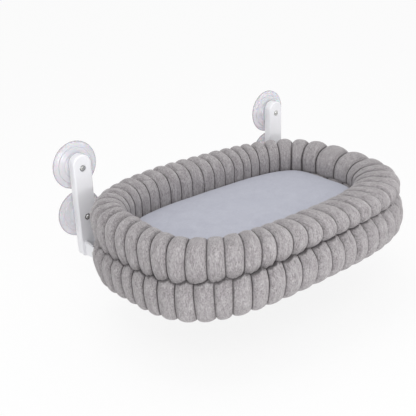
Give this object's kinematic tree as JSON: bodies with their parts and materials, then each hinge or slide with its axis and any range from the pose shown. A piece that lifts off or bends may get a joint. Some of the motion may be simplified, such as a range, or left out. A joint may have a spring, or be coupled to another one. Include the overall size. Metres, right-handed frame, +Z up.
{
  "type": "window mounted cat perch",
  "caption": "Window perch for a cat: two hinged arms with suction cups carry a tube frame and a plush nest with a lift-out pad.",
  "frame": {"origin": "centre of the four suction cup faces, on the window glass", "axes": "+Y into the glass, +Z up, +X to the right along the long side of the bed for someone who faces the window; the bed reaches towards -Y"},
  "size_m": [0.63, 0.42, 0.24],
  "materials": {
    "arm_abs": "moulded white ABS, satin",
    "spine_steel": "zinc plated strip",
    "cup_pvc": "clear soft PVC, smooth",
    "insert_brass": "turned",
    "zinc_steel": "zinc plated, bright",
    "lug_nylon": "moulded nylon, fine grain",
    "acetal": "turned acetal",
    "tube_coat": "powder coated, satin",
    "sleeve_steel": "drawn tube",
    "board_wood": "hardboard, smooth",
    "lining_cloth": "spunbond cloth",
    "webbing": "woven strap with hook and loop",
    "foam": "open cell foam",
    "ring_plush": "short warm grey plush",
    "pad_plush": "short cool grey plush"
  },
  "bodies": {
    "brackets": {"left_arm_front": "arm_abs", "right_arm_front": "arm_abs", "left_arm_back": "arm_abs", "right_arm_back": "arm_abs", "left_spine": "spine_steel", "right_spine": "spine_steel", "left_upper_cup": "cup_pvc", "left_lower_cup": "cup_pvc", "right_upper_cup": "cup_pvc", "right_lower_cup": "cup_pvc", "cup_inserts": "insert_brass", "cup_screws": "zinc_steel", "cup_washers": "zinc_steel", "arm_screws": "zinc_steel", "hinge_pins": "zinc_steel", "hinge_nuts": "zinc_steel"},
    "bed": {"lug_screws": "zinc_steel", "joint_screws": "zinc_steel", "left_lug": "lug_nylon", "right_lug": "lug_nylon", "hinge_bushes": "acetal", "hinge_washers": "acetal", "front_tube": "tube_coat", "rear_tube": "tube_coat", "cross_bars": "tube_coat", "joint_sleeves": "sleeve_steel", "base_board": "board_wood", "base_lining": "lining_cloth", "side_straps": "webbing", "front_straps": "webbing", "rear_straps": "webbing", "corner_straps": "webbing", "base_foam": "foam", "lower_bolster": "ring_plush", "upper_bolster": "ring_plush"},
    "pad": {"pad": "pad_plush"}
  },
  "joints": [
    {"name": "bed_fold", "type": "hinge", "parent": "brackets", "child": "bed", "pos_m": [0, -0.064, -0.112], "axis": [-1, 0, 0], "range_deg": [0, 80], "deforming": ["upper_bolster", "lower_bolster"]},
    {"name": "pad_lift", "type": "slide", "parent": "bed", "child": "pad", "axis": [0, 0, 1], "range_m": [0, 0.12]}
  ]
}
